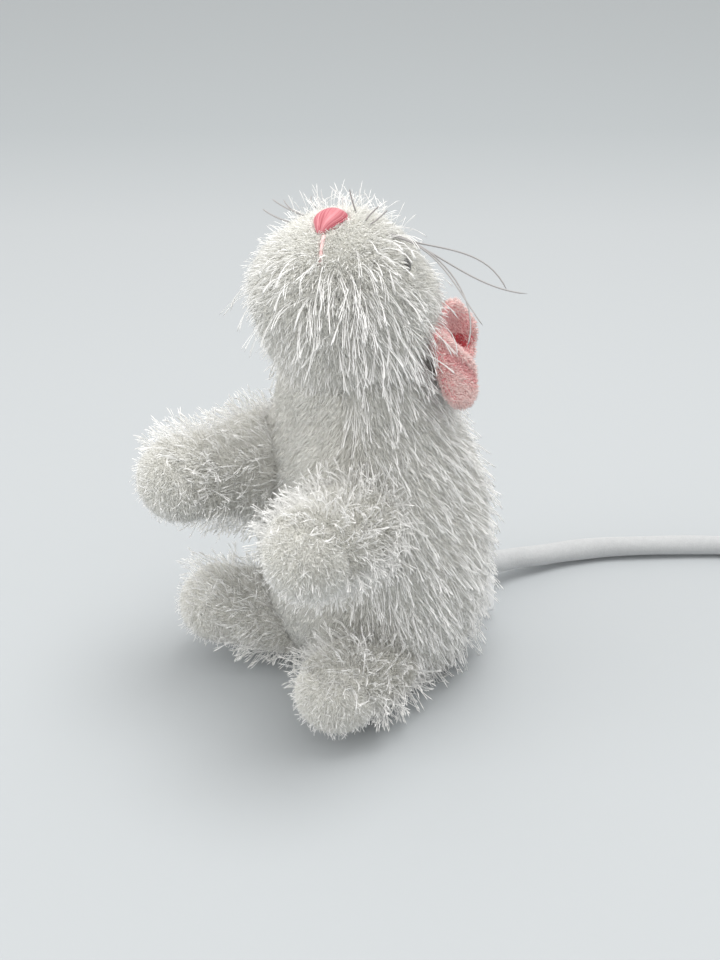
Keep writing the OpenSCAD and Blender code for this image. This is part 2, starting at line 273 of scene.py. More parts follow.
def tubes(name, path, width, side, materials, shade=None, edges=3):
    """Thin threads along lines of points: open at the root, closed to a point at the free end.
    Width holds one value for each point."""
    lines, points = path.shape[:2]
    way = along_path(path)
    u = unit(np.cross(way, side[:, None, :]))
    w = np.cross(way, u)
    angle = 2 * pi * np.arange(edges) / edges
    spokes = cos_sin(angle)
    offset = u[:, :-1, None, :] * spokes[0][:, None] + w[:, :-1, None, :] * spokes[1][:, None]
    rings = path[:, :-1, None, :] + offset * width[:, :-1, None, None] / 2
    block = (points - 1) * edges + 1
    verts = np.concatenate([rings.reshape(lines, -1, 3), path[:, -1:, :]], 1)
    walls = grid_quads(points - 1, edges, True)
    ring = (points - 2) * edges + np.arange(edges)
    tips = np.stack([ring, (points - 2) * edges + (np.arange(edges) + 1) % edges,
                     np.full(edges, block - 1)], -1)
    bases = np.arange(lines)[:, None, None] * block
    shade = np.zeros(lines, int) if shade is None else shade
    return mesh_object(name, verts.reshape(-1, 3), (walls[None] + bases).reshape(-1, 4),
                       (tips[None] + bases).reshape(-1, 3), materials,
                       np.repeat(shade, len(walls)), np.repeat(shade, edges))


def cos_sin(angle):
    return np.cos(angle), np.sin(angle)


# ---- places, from the frame ----

def distance_from(node, place):
    """How far points are from the middle of a CAD node's box."""
    low, high = (np.array(corner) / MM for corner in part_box(node))
    return np.linalg.norm(place - (low + high) / 2, axis=-1)


JOINT = {joint["name"]: np.array(joint["pos_m"]) / MM for joint in frame["joints"]}
NECK = JOINT["neck_nod"]
LEAN = radians(6)
NECK_Z = np.linalg.norm(NECK)
BELLY_R = 31.5
BELLY_Z = 44.0
NECK_R = 20.5
BELLY_DROP = 57.95
TWIST = -6.0         # the torso's front is turned this far, in degrees, to its right
SKIN = 1.2

HEAD_TILT = radians(15)
HEAD_R = 21.5
HEAD_BACK = 21.0
HEAD_FRONT = 27.0
HEAD = NECK + [0, -4.5, 21.3]


def leaning(points):
    """From the torso's own frame, whose Z is its axis, to the row frame."""
    x, y, z = np.moveaxis(points, -1, 0)
    return np.stack([x, y * cos(LEAN) - z * sin(LEAN), y * sin(LEAN) + z * cos(LEAN)], -1)


def from_head(points):
    """From the head's own frame, whose Z runs to the nose, to the row frame."""
    x, y, z = np.moveaxis(np.asarray(points, float), -1, 0)
    turned = [x, y * cos(HEAD_TILT) - z * sin(HEAD_TILT), y * sin(HEAD_TILT) + z * cos(HEAD_TILT)]
    return HEAD + np.stack(turned, -1)


def to_head(points):
    x, y, z = np.moveaxis(points - HEAD, -1, 0)
    turned = [x, y * cos(HEAD_TILT) + z * sin(HEAD_TILT), z * cos(HEAD_TILT) - y * sin(HEAD_TILT)]
    return np.stack(turned, -1)


def head_radius(z):
    reach = np.where(z < 0, HEAD_BACK, HEAD_FRONT)
    return HEAD_R * np.sqrt(np.clip(1 - (z / reach) ** 2, 0, None))


def head_depth(points):
    """How deep points are inside the head's skin."""
    local = to_head(points)
    return head_radius(local[..., 2]) - np.hypot(local[..., 0], local[..., 1])


def torso_profile(z):
    low = BELLY_R * np.sqrt(np.clip(1 - ((BELLY_Z - z) / BELLY_DROP) ** 2, 0, None))
    share = np.clip((z - BELLY_Z) / (NECK_Z - BELLY_Z), 0, 1)
    high = NECK_R + (BELLY_R - NECK_R) * (0.5 + 0.5 * np.cos(pi * share))
    dome = np.sqrt(np.clip(NECK_R ** 2 - np.clip(z - NECK_Z, 0, None) ** 2, 0, None))
    return np.where(z < BELLY_Z, low, np.where(z < NECK_Z, high, dome))


def torso_depth(points):
    """How deep points are inside the torso's skin."""
    x, y, z = np.moveaxis(points, -1, 0)
    back, rise = y * cos(LEAN) + z * sin(LEAN), z * cos(LEAN) - y * sin(LEAN)
    return torso_profile(rise) - np.hypot(x, back)


# ---- pile ----

FLOOR_CLEARANCE = 0.25
FUZZ_DENSITY = 11     # roots of fine pile for each square millimetre
BRUSH_WAVES = 8
CELL_KEY = np.array([1, 4099, 16785407])     # makes one number of a clump's three cell numbers


def scatter(surface, density, rng):
    """Random roots on a grid of points, so many for each square millimetre: places and normals."""
    a, b, c, d = surface[:-1, :-1], surface[:-1, 1:], surface[1:, 1:], surface[1:, :-1]
    facing = np.cross(c - a, d - b)
    area = np.linalg.norm(facing, axis=-1) / 2
    wanted = density((a + b + c + d) / 4) if callable(density) else density
    count = rng.poisson(area * wanted).ravel()
    cell = np.repeat(np.arange(count.size), count)
    corner = [part.reshape(-1, 3)[cell] for part in (a, b, c, d)]
    s, t = rng.random((2, len(cell), 1))
    place = (1 - t) * ((1 - s) * corner[0] + s * corner[1]) + t * ((1 - s) * corner[3] + s * corner[2])
    return place, unit(facing.reshape(-1, 3)[cell])


def brushed(place, size):
    """A smooth field of small vectors, which makes neighbouring strands lean together."""
    rng = np.random.default_rng(11)
    field = np.zeros_like(place)
    for _ in range(BRUSH_WAVES):
        wave = unit(rng.normal(size=3)) * 2 * pi / (size * rng.uniform(0.7, 1.9))
        field += unit(rng.normal(size=3)) * np.sin(place @ wave + rng.uniform(0, 2 * pi))[:, None]
    return field / 2.8


def gathered(place, path, rng, size, share):
    """Pulls strands towards the middle of the clump that they are in, more so at their tips."""
    cell = np.floor((place + 0.25 * size * rng.normal(size=place.shape)) / size).astype(np.int64)
    _, clump = np.unique(cell @ CELL_KEY, return_inverse=True)
    clump = clump.ravel()
    members = np.bincount(clump)
    middle = np.stack([np.bincount(clump, place[:, i]) / members for i in range(3)], -1)[clump]
    along = np.linspace(0, 1, path.shape[1])[None, :, None]
    return path + share * along ** 1.5 * (middle - place)[:, None]


def strands(roots, rng, kind, length, flow, lean, droop=0.0, spread=0.2, curl=0.0, clump=0.0, tuft=1):
    """Lines that leave the surface and bend towards the flow and the floor.
    lean holds how far they follow the flow at the root and at the tip."""
    place, normal = roots
    count = len(place)
    steps = np.array(kind["steps"])
    size = (length[0] + (length[1] - length[0]) * rng.random(count))[:, None, None]
    tangent = unit(across(flow, normal) + 1e-6)
    stray = spread * rng.normal(size=(count, 3)) + clump * brushed(place, 5.0)
    first = unit(normal + lean[0] * tangent + stray)
    last = unit(normal * 0.6 + lean[1] * tangent + 1.3 * stray - droop * UP)
    share = ((np.cumsum(steps) - steps) / max(1 - steps[-1], 0.01))[None, :, None]
    way = unit(first[:, None] * (1 - share) + last[:, None] * share)
    if curl:
        way = unit(way + curl * share * rng.normal(size=(count, 1, 3)))
    path = np.concatenate([place[:, None], place[:, None] + np.cumsum(way * size * steps[:, None], 1)], 1)
    if tuft > 1:
        path = np.repeat(path, tuft, axis=0)
        apart = across(rng.normal(size=(len(path), 3)), np.repeat(normal, tuft, axis=0))
        along = np.concatenate([[0], np.cumsum(steps)])[None, :, None]
        astray = rng.normal(size=(len(path), 1, 3))
        path += apart[:, None] * (0.45 - 0.35 * along) + 0.45 * along ** 2 * astray
    path[..., 2] = np.maximum(path[..., 2], FLOOR_CLEARANCE)
    return path


MOST_FACES = 190000   # in one piece of pile


def pile_pieces(name, path, width, rng, materials, body, shade=None):
    """Strands as meshes of a modest size that ride on a body."""
    count, points = path.shape[:2]
    side = unit(rng.normal(size=(count, 3)))
    if shade is None:
        shade = rng.integers(0, len(materials), count)
    widths = np.asarray(width)[None, :] * rng.uniform(0.8, 1.2, (count, 1))
    triangles = 6 * (points - 2) + 3
    parts = -(-count * triangles // MOST_FACES)
    for number, part in enumerate(np.array_split(np.arange(count), parts)):
        title = name if parts == 1 else f"{name}_{number + 1}"
        piece = tubes(title, path[part], widths[part], side[part], materials, shade[part])
        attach(piece, body)


# How the length of a strand is shared among its steps, and its widths from root to tip
FUZZ = dict(steps=(0.55, 0.45), width=(0.20, 0.17, 0))
STUBS = dict(steps=(0.5, 0.38, 0.12), width=(0.12, 0.11, 0.20, 0))
LONG = dict(steps=(0.19, 0.19, 0.19, 0.18, 0.16, 0.09), width=(0.15, 0.14, 0.14, 0.15, 0.18, 0.31, 0))


def fuzz(name, roots, rng, body, length, flow, lean, spread=0.22, clump=0.22, size=1.3, gather=0.6):
    """Fine, dense pile in small clumps."""
    path = strands(roots, rng, FUZZ, length, flow, (0.7 * lean, 1.4 * lean), 0, spread, 0, clump)
    path = gathered(roots[0], path, rng, size, gather)
    path[..., 2] = np.maximum(path[..., 2], FLOOR_CLEARANCE)
    pile_pieces(name, path, FUZZ["width"], rng, PILE, body)


def stubs(name, roots, rng, body, length, flow, lean, droop=0.2, spread=0.22, curl=0.15):
    """Thin strands of middle length with thickened ends, which stand out of the fine pile."""
    path = strands(roots, rng, STUBS, length, flow, lean, droop, spread, curl, 0.15)
    pile_pieces(name, path, STUBS["width"], rng, GLOSSY, body)


def long_pile(name, roots, rng, body, length, flow, lean, droop, spread=0.2):
    """Long strands in pairs, with thickened ends."""
    path = strands(roots, rng, LONG, length, flow, lean, droop, spread, 0.2, 0.2, tuft=2)
    pile_pieces(name, path, LONG["width"], rng, GLOSSY, body)


make_camera()
make_light()

PILE = shades("pile", (0.80, 0.795, 0.755), (0.92, 0.92, 0.895), 4, Roughness=0.8)
GLOSSY = shades("long_pile", (0.97, 0.97, 0.96), (0.99, 0.99, 0.985), 3, Roughness=0.3,
                Specular_IOR_Level=0.8)
EAR_PILE = shades("ear_pile", (0.74, 0.37, 0.38), (0.84, 0.50, 0.50), 3, Roughness=0.8)
EAR_PALE = shades("ear_pale_pile", (0.84, 0.61, 0.59), (0.89, 0.71, 0.69), 3, Roughness=0.8)
# Painted light: a lighter pink for the ear's front above the ridge, which faces away from the lamps.
EAR_PAINTED_LIGHT = shades("ear_painted_light_pile", (0.86, 0.53, 0.53), (0.93, 0.64, 0.63), 3, Roughness=0.8)
# Painted shade: deep red for the strands in the ear's crease, where the fold's shade falls.
EAR_PAINTED_SHADE = shades("ear_painted_shade_pile", (0.66, 0.06, 0.09), (0.78, 0.16, 0.18), 2, Roughness=0.8)
BACKING = woven("pile_backing", (0.93, 0.925, 0.90), (0.97, 0.965, 0.95), 1.2, bump=0.6)
VELOUR = woven("tail_velour", (0.42, 0.43, 0.445), (0.48, 0.495, 0.505), 0.5, bump=0.5, Sheen_Weight=0.3)
EAR_CLOTH = woven("ear_velour", (0.74, 0.25, 0.27), (0.86, 0.42, 0.44), 0.8, bump=0.5)
FIBRE = woven("filling_fibre", (0.80, 0.80, 0.79), (0.92, 0.92, 0.92), 1.5, bump=0.8)
SATIN = woven("label_satin", (0.78, 0.79, 0.80), (0.86, 0.87, 0.88), 0.4, roughness=0.35, bump=0.1,
              stretch=(1, 1, 6))
SEAT_CLOTH = woven("seat_cloth", (0.60, 0.60, 0.57), (0.74, 0.74, 0.71), 0.6, bump=0.5)
PELLETS = woven("pellet_plastic", (0.66, 0.66, 0.58), (0.82, 0.82, 0.76), 2.5, roughness=0.4, bump=1.0)
WHISKER = plain("whisker_thread", (0.34, 0.33, 0.33), Roughness=0.45)
MOUTH_THREAD = plain("mouth_thread", (0.82, 0.54, 0.54), Roughness=0.5)
NOSE_THREAD = shades("nose_thread", (0.46, 0.11, 0.14), (0.66, 0.26, 0.29), 3, Roughness=0.4)
LABEL_MARK = plain("label_mark", (0.75, 0.10, 0.20), Roughness=0.5)

# ---- torso ----

BELLY_HALF = 42.0
LOWEST = 0.6
COLLAR = 14.0        # how far the skin climbs past the neck's middle, under the head
BURIED = 3.0         # no pile grows this deep inside a neighbouring part
LIMB_JOIN = 7.5      # radius without pile round a limb's joint
TAIL_JOIN = 4.5      # the same at the tail
LABEL_FREE = 19.0    # radius without stiff strands round the label
LIMB_START = 3.0     # where the oval part of a limb begins


def torso_point(turn, z, off):
    """A point on the torso's skin: turn is in degrees from the front towards the left."""
    radius = torso_profile(z)
    aside = np.abs((turn - TWIST + 180) % 360 - 180)
    haunch = 2.5 * bell(z - 18, 13) * bell(aside - 45, 25)
    chest = 1.0 * bell(z - 76, 12) + 3.0 * bell(z - 74, 14) * bell(aside - 44, 25)
    lumps = 0.35 * np.sin(3 * np.radians(turn) + z / 9) + 0.25 * np.sin(5 * np.radians(turn) - z / 6)
    r = np.maximum(radius + haunch + chest + lumps * smooth(z / 20) + off, 0.2)
    angle = np.radians(turn)
    return leaning(np.stack([r * np.sin(angle), -r * np.cos(angle), np.broadcast_to(z, r.shape)], -1))


def torso_surface(start, end, off):
    levels = np.linspace(LOWEST, NECK_Z + COLLAR, 96)
    turns = np.linspace(start, end, int(abs(end - start) / 2) + 2)
    z, turn = np.meshgrid(levels, turns, indexing="ij")
    edge = np.minimum(turn - start, end - turn)
    points = torso_point(turn, z, off - 0.8 * bell(edge, 2.2))
    points[..., 2] = np.maximum(points[..., 2], 0.15)
    return points


def chosen(roots, test):
    """The roots whose places pass a test."""
    keep = test(roots[0])
    return roots[0][keep], roots[1][keep]


def clear_of_torso_joins(place):
    """Roots that other parts don't bury."""
    free = head_depth(place) < BURIED
    for limb in LIMBS.values():
        free &= np.linalg.norm(place - limb["root"], axis=-1) > LIMB_JOIN
    free &= np.linalg.norm(place - JOINT["tail_sweep"], axis=-1) > TAIL_JOIN
    return free


def clear_of_torso_trim(place):
    """The same, and away from the label, which the long strands would hide."""
    return clear_of_torso_joins(place) & (distance_from("care_label", place) > LABEL_FREE)


def limb_way(side, out, droop):
    out, droop = radians(out), radians(droop)
    return np.array([side * sin(out) * cos(droop), -cos(out) * cos(droop), -sin(droop)])


LIMBS = {
    "arm_left": dict(root=JOINT["shoulder_left"], way=limb_way(1, 21, -12), length=38, radius=10.5,
                     pad="paw_pad_left", depth=28, tip=0.45, neck=11.5),
    "arm_right": dict(root=JOINT["shoulder_right"], way=limb_way(-1, 12.5, -7), length=38, radius=10.5,
                      pad="paw_pad_right", depth=28, tip=0.45, neck=14.5),
    "leg_left": dict(root=JOINT["hip_left"], way=limb_way(1, 14, -8), length=31, radius=10,
                     pad="sole_left", depth=20, tip=0.9, neck=10.5),
    "leg_right": dict(root=JOINT["hip_right"], way=limb_way(-1, 42, -12), length=31, radius=10,
                      pad="sole_right", depth=20, tip=0.9, neck=10.5),
}
PANELS = {
    "belly_panel": (TWIST - BELLY_HALF, TWIST + BELLY_HALF),
    "back_panel_left": (TWIST + BELLY_HALF, 180.0),
    "back_panel_right": (180.0, 360.0 + TWIST - BELLY_HALF),
}
VIEWER_LEFT = np.array([-cos(AZIMUTH), -sin(AZIMUTH), 0])


def torso_flow(place, belly):
    outward = unit(place * [1, 1, 0] + 1e-6)
    backward = across(np.array([0, 1.0, 0]) + 0 * place, outward)
    if belly:
        return -UP + 0.5 * VIEWER_LEFT + 0 * place
    return -UP + 0.45 * backward


def make_torso():
    for number, (panel, (start, end)) in enumerate(PANELS.items()):
        rng = np.random.default_rng(SEEDS["torso"] + number)
        surface = torso_surface(start, end, 0)
        skin = shell(f"{panel}_cloth", surface, torso_surface(start, end, -SKIN), BACKING)
        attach(skin, "torso")
        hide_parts(panel)
        belly = panel == "belly_panel"
        roots = chosen(scatter(surface, FUZZ_DENSITY, rng), clear_of_torso_joins)
        flow = torso_flow(roots[0], belly)
        trim = 0.5 + 0.5 * smooth((distance_from("care_label", roots[0]) - 12) / 12)
        if belly:
            fuzz(f"{panel}_pile", roots, rng, "torso", (2.8, 4.2), flow, 1.2,
                 spread=0.10, clump=0.3, size=1.0, gather=0.35)
            continue
        length = (2.6 * trim, 4.2 * trim)
        fuzz(f"{panel}_pile", roots, rng, "torso", length, flow, 1.3, gather=0.8)
        roots = chosen(scatter(surface, 0.30, rng), clear_of_torso_trim)
        stubs(f"{panel}_stubs", roots, rng, "torso", (4.5, 7.5), torso_flow(roots[0], False),
              (0.9, 2.2), curl=0.3)
        roots = chosen(scatter(surface, 0.12, rng), clear_of_torso_trim)
        flow = torso_flow(roots[0], False)
        long_pile(f"{panel}_strands", roots, rng, "torso", (8, 12), flow, (1.1, 2.6), 0.9)


# ---- limbs ----

def limb_axes(way):
    side = unit(np.cross(way, UP))
    return side, np.cross(side, way)


def limb_radius(limb, t):
    """Radius at a distance t along the limb from its seam."""
    start, half = LIMB_START, (limb["length"] - LIMB_START) / 2
    ball = np.sqrt(np.clip(limb["neck"] ** 2 - t ** 2, 0, None))
    oval = limb["radius"] * np.sqrt(np.clip(1 - ((t - start - half) / half) ** 2, 0, None))
    body = limb["neck"] + (limb["radius"] - limb["neck"]) * smooth(t / half)
    end = limb["length"]
    rounding = np.clip(t - (end - limb["radius"]), 0, None) / limb["radius"]
    tip = limb["radius"] * np.sqrt(np.clip(1 - rounding ** 2, 0, None))
    full = np.where(t < 0, ball, np.where(t > end - limb["radius"], tip, body))
    return np.maximum(full, np.where(t < 0, ball, oval))


def limb_point(limb, t, turn, off=0.0):
    side, top = limb_axes(limb["way"])
    r = np.maximum(limb_radius(limb, t) + off, 0.05)
    return (limb["root"] + t[..., None] * limb["way"]
            + r[..., None] * (np.cos(turn)[..., None] * side + np.sin(turn)[..., None] * top))


def pad_edge(limb, turns):
    """How far along the limb its pad's seam is, for each direction round it."""
    look = unit(limb["way"] + np.array([0, 0, -limb["tip"]]))
    centre = limb["root"] + limb["way"] * limb["depth"]
    t = np.linspace(0, limb["length"] - 0.01, 300)
    grid_t, grid_turn = np.meshgrid(t, turns, indexing="ij")
    ahead = (limb_point(limb, grid_t, grid_turn) - centre) @ look
    return t[np.argmax(ahead > 0, axis=0)]


def make_limb(name, limb, number):
    rng = np.random.default_rng(SEEDS["limb"] + number)
    turns = np.linspace(2 * pi, 0, 72, endpoint=False)
    edge = pad_edge(limb, turns)
    share = np.linspace(0, 1, 48)[:, None]
    root_end = -limb["neck"] * 0.995
    skin_t = root_end + (edge[None] - root_end) * share
    pad_t = edge[None] + (limb["length"] - 0.02 - edge[None]) * np.sin(share * pi / 2)
    turn = np.broadcast_to(turns, skin_t.shape)
    dip = 0.7 * bell(edge[None] - skin_t, 1.3)
    skin_rings = limb_point(limb, skin_t, turn, -dip)
    pad_rings = limb_point(limb, pad_t, turn, -0.7 * bell(pad_t - edge[None], 1.3))
    inside = limb["root"] + limb["way"] * limb["depth"]
    far_end = limb["root"] + limb["way"] * limb["length"]
    near_end = limb["root"] - limb["way"] * limb["neck"]
    skin = closed_body(f"{name}_cloth", skin_rings, near_end, inside - limb["way"], BACKING)
    pad = closed_body(f"{limb['pad']}_cloth", pad_rings, inside + limb["way"], far_end, BACKING)
    for piece, node, slot in ((skin, f"{name}_skin", "long_plush"), (pad, limb["pad"], "short_plush")):
        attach(piece, name)
        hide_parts(node)
    loop = np.concatenate([skin_rings, skin_rings[:, :1]], 1)
    ahead = limb["way"] + 0.35 * UP
    roots = chosen(scatter(loop, FUZZ_DENSITY, rng), lambda place: torso_depth(place) < 2.5)
    fuzz(f"{name}_pile", roots, rng, name, (2.0, 3.2), ahead, 0.8, size=1.0, gather=0.5)
    roots = chosen(scatter(loop, 0.22, rng), lambda place: torso_depth(place) < 0)
    stubs(f"{name}_stubs", roots, rng, name, (4.5, 7.5), ahead, (0.2, 0.6),
          droop=0, spread=0.25)
    roots = chosen(scatter(loop, 0.25, rng), lambda place: torso_depth(place) < -2)
    long_pile(f"{name}_strands", roots, rng, name, (6.5, 10), ahead, (0.3, 0.9), droop=0.1, spread=0.3)
    loop = np.concatenate([pad_rings, pad_rings[:, :1]], 1)
    roots = scatter(loop, FUZZ_DENSITY, rng)
    fuzz(f"{limb['pad']}_pile", roots, rng, name, (1.6, 2.6), -UP, 0.4)
    roots = scatter(loop, 0.8, rng)
    stubs(f"{limb['pad']}_curls", roots, rng, name, (2.6, 4.6), -UP, (0.3, 0.9),
          droop=0, spread=0.5, curl=0.7)


# ---- head ----

GUSSET_HALF = 22.0
FACE_TURN = -60.0    # the middle of the mouth, in degrees from the head's own left
CHEEK_TURN = 225.0   # the middle of the fuller cheek
EYE_FREE = 3.0       # radius without pile round an eye
EYE_SHORT = 5.0      # radius without stiff strands round an eye
HEAD_PANELS = {
    "cheek_left": (-90.0, 90.0 - GUSSET_HALF),
    "forehead_gusset": (90.0 - GUSSET_HALF, 90.0 + GUSSET_HALF),
    "cheek_right": (90.0 + GUSSET_HALF, 270.0),
}


def head_surface(start, end, off):
    slant = np.linspace(radians(-86), radians(88.5), 80)
    z = np.where(slant < 0, HEAD_BACK, HEAD_FRONT) * np.sin(slant)
    turns = np.linspace(start, end, int(abs(end - start) / 2.5) + 2)
    grid_z, turn = np.meshgrid(z, turns, indexing="ij")
    edge = np.minimum(turn - start, end - turn)
    muzzle = 1.2 * bell(grid_z - 17, 8) * bell(np.cos(np.radians(turn - FACE_TURN)) - 1, 0.9)
    cheek = 2.4 * bell(grid_z - 13, 9) * np.clip(np.cos(np.radians(turn - CHEEK_TURN)), 0, None)
    r = np.maximum(head_radius(grid_z) + off + muzzle + cheek - 0.5 * bell(edge, 2.0), 0.2)
    angle = np.radians(turn)
    lift = off * np.sin(slant)[:, None]
    return from_head(np.stack([r * np.cos(angle), r * np.sin(angle), grid_z + lift], -1))


NOSE_TIP = from_head([0, 0, HEAD_FRONT])
NOSE_HALF = 5.2
NOSE_SHIFT = 0.4
NOSE_TURN = -72.0    # the direction from the nose's middle to its point
NOSE_THREADS = 24
NOSE_STEPS = 15      # points along each of its threads
MUZZLE_WAY = np.array([cos(radians(NOSE_TURN)), sin(radians(NOSE_TURN))])
MUZZLE_SIDE = np.array([-MUZZLE_WAY[1], MUZZLE_WAY[0]])


def nose_width(s):
    """Half the nose's width: s runs from the forehead's side to the mouth's side."""
    reach = np.abs((s - NOSE_SHIFT) / NOSE_HALF)
    return 4.5 * np.sqrt(np.clip(1 - reach ** 2.6, 0, None)) * (1 - 0.5 * smooth((s + 1) / 6.6))


def nose_share(place):
    """How far out places on the head are from the nose's middle; its outline is at 1."""
    x, y, z = np.moveaxis(to_head(place), -1, 0)
    s = x * MUZZLE_WAY[0] + y * MUZZLE_WAY[1]
    aside = x * MUZZLE_SIDE[0] + y * MUZZLE_SIDE[1]
    reach = np.abs((s - NOSE_SHIFT) / NOSE_HALF)
    share = np.maximum(np.abs(aside) / np.maximum(nose_width(s), 0.2), reach)
    return np.where(z > 0, share, 9)


def nose_margin(place):
    """Where the pile starts round the nose: it grows over the nose's lower left edge."""
    x, y, _ = np.moveaxis(to_head(place), -1, 0)
    aside = x * MUZZLE_SIDE[0] + y * MUZZLE_SIDE[1]
    return np.where((aside > 0) & (x * MUZZLE_WAY[0] + y * MUZZLE_WAY[1] > -1), 0.78, 1.04)


def head_flow(place):
    """Away from the nose, over the skin, and down."""
    return unit(place - NOSE_TIP) * 1.2 - 0.5 * UP


MOUTH = from_head([[head_radius(z) * cos(radians(FACE_TURN)), head_radius(z) * sin(radians(FACE_TURN)), z]
                   for z in (25.9, 24.8, 23.7, 22.6, 21.5)])


def clear_of_head_trim(place):
    """Roots that the neck doesn't bury and that leave the nose, the mouth and the eyes free."""
    free = (torso_depth(place) < BURIED) & (nose_share(place) > nose_margin(place))
    for side in SIDES:
        free &= distance_from(f"eye_{side}", place) > EYE_FREE
    for stitch in MOUTH:
        free &= np.linalg.norm(place - stitch, axis=1) > 0.8
    return free


def clear_of_snout(place):
    """Roots outside the clipped snout; the pile behind the nose is left long."""
    x, y, _ = np.moveaxis(to_head(place), -1, 0)
    behind = (x * MUZZLE_WAY[0] + y * MUZZLE_WAY[1]) < -4
    near = np.linalg.norm(place - NOSE_TIP, axis=1)
    free = clear_of_head_trim(place) & (near > np.where(behind, 6.5, 11))
    for side in SIDES:
        free &= distance_from(f"eye_{side}", place) > EYE_SHORT
    return free


def beard(place):
    """Long strands for each square millimetre: they hang from the snout's underside and the cheeks."""
    x, y, z = np.moveaxis(to_head(place), -1, 0)
    turn = np.degrees(np.arctan2(y, x))
    near = np.linalg.norm(place - NOSE_TIP, axis=-1)
    aside = turn - FACE_TURN - 8
    below = bell(aside, np.where(aside < 0, 45, 65))
    chin = below * smooth((near - 10) / 4) * (1 - smooth((near - 22) / 10))
    before_ear = bell(turn + 8, 30) * bell(z + 2, 12)
    return 0.20 * chin * (1 - brow(place)) + 0.22 * before_ear


def brow(place):
    """1 where the pile is short, between the eyes and behind them, and 0 elsewhere."""
    x, y, z = np.moveaxis(to_head(place), -1, 0)
    turn = np.degrees(np.arctan2(y, x))
    return smooth((z - 4) / 6) * smooth((turn - 15) / 12) * smooth((120 - turn) / 12) * smooth((23 - z) / 3)


def crest(place):
    """True in the tall pile behind the nose."""
    x, y, z = np.moveaxis(to_head(place), -1, 0)
    along = x * MUZZLE_WAY[0] + y * MUZZLE_WAY[1]
    return (z > 18) & (along < -4) & (along > -13)


def make_head():
    for number, (panel, (start, end)) in enumerate(HEAD_PANELS.items()):
        rng = np.random.default_rng(SEEDS["head"] + number)
        surface = head_surface(start, end, 0)
        skin = shell(f"{panel}_cloth", surface, head_surface(start, end, -SKIN), BACKING)
        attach(skin, "head")
        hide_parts(panel)
        roots = chosen(scatter(surface, FUZZ_DENSITY, rng), clear_of_head_trim)
        near = np.linalg.norm(roots[0] - NOSE_TIP, axis=1)
        length = (1.9 + 1.7 * smooth((near - 7) / 12)) * (1 - 0.4 * brow(roots[0]))
        reach = (length * 0.8, length * 1.3)
        fuzz(f"{panel}_pile", roots, rng, "head", reach, head_flow(roots[0]), 0.7, spread=0.3)
        roots = chosen(scatter(surface, 0.45, rng), lambda place: clear_of_snout(place) & (brow(place) < 0.5))
        stubs(f"{panel}_stubs", roots, rng, "head", (4.2, 6.8), head_flow(roots[0]), (0.3, 0.7))
        roots = chosen(scatter(surface, 0.22, rng), lambda place: clear_of_snout(place) & crest(place))
        stubs(f"{panel}_crest", roots, rng, "head", (6, 9.5), UP + 0 * roots[0], (0.4, 0.5),
              droop=0, spread=0.35, curl=0.3)
        if panel != "forehead_gusset":
            roots = chosen(scatter(surface, beard, rng), clear_of_snout)
            long_pile(f"{panel}_strands", roots, rng, "head", (9, 15), head_flow(roots[0]), (0.5, 1.2), 1.5)


# ---- nose, mouth, eyes and whiskers ----

def nose_point(u, s, lift):
    """A point on the nose: u is its share of the way to the side, lift how far it stands off."""
    aside = u * nose_width(s)
    x = aside * MUZZLE_SIDE[0] + s * MUZZLE_WAY[0]
    y = aside * MUZZLE_SIDE[1] + s * MUZZLE_WAY[1]
    foot = HEAD_FRONT * np.sqrt(1 - (x ** 2 + y ** 2) / HEAD_R ** 2)
    return from_head(np.stack([x, y, foot + lift], -1))


def nose_height(u, s):
    """Two plump lobes with a furrow between them that deepens towards the mouth."""
    reach = np.abs((s - NOSE_SHIFT) / NOSE_HALF)
    dome = np.sqrt(np.clip(1 - 0.9 * u ** 2, 0, None)) * np.sqrt(np.clip(1 - reach ** 3.5, 0, None))
    return 2.4 * dome - 1.3 * bell(u + 0.15, 0.25) * smooth((s + 2.5) / 5) * dome


def make_nose():
    rng = np.random.default_rng(SEEDS["nose"])
    across_nose = np.linspace(-0.96, 0.96, NOSE_THREADS)
    down = NOSE_SHIFT - NOSE_HALF * np.cos(np.linspace(0.06, pi - 0.06, NOSE_STEPS))
    u, s = np.meshgrid(across_nose, down, indexing="ij")
    path = nose_point(u, s, 0.25 + nose_height(u, s))
    side = np.broadcast_to(from_head([0, 0, 1.0]) - HEAD, (len(across_nose), 3))
    width = np.broadcast_to(np.concatenate([[0.25], np.full(NOSE_STEPS - 3, 0.5), [0.35, 0]]), path.shape[:2])
    threads = tubes("nose_threads", path, width, side, NOSE_THREAD, rng.choice(3, len(across_nose)), 6)
    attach(threads, "head")
    share = np.linspace(0.03, 1, 10)
    turn = np.linspace(0, 2 * pi, 40, endpoint=False)
    ring, angle = np.meshgrid(share, turn, indexing="ij")
    s = NOSE_SHIFT - 0.98 * NOSE_HALF * ring * np.cos(angle)
    u = ring * np.sin(angle) / np.sqrt(np.maximum(1 - (ring * np.cos(angle)) ** 2, 0.02))
    rings = nose_point(0.98 * np.clip(u, -1, 1), s, nose_height(u, s) * 0.97)
    rings[-1] = nose_point(0.98 * np.clip(u[-1], -1, 1), s[-1], -0.2)
    under, crown = from_head([0, 0, HEAD_FRONT - 2]), nose_point(np.array(0.0), np.array(NOSE_SHIFT), 1.8)
    core = closed_body("nose_core", rings[::-1], under, crown, NOSE_THREAD[0])
    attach(core, "head")
    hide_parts("nose_pad")


WHISKER_STEPS = 21
WHISKER_WIDTHS = (0.48, 0.38)     # at the root and at the tip


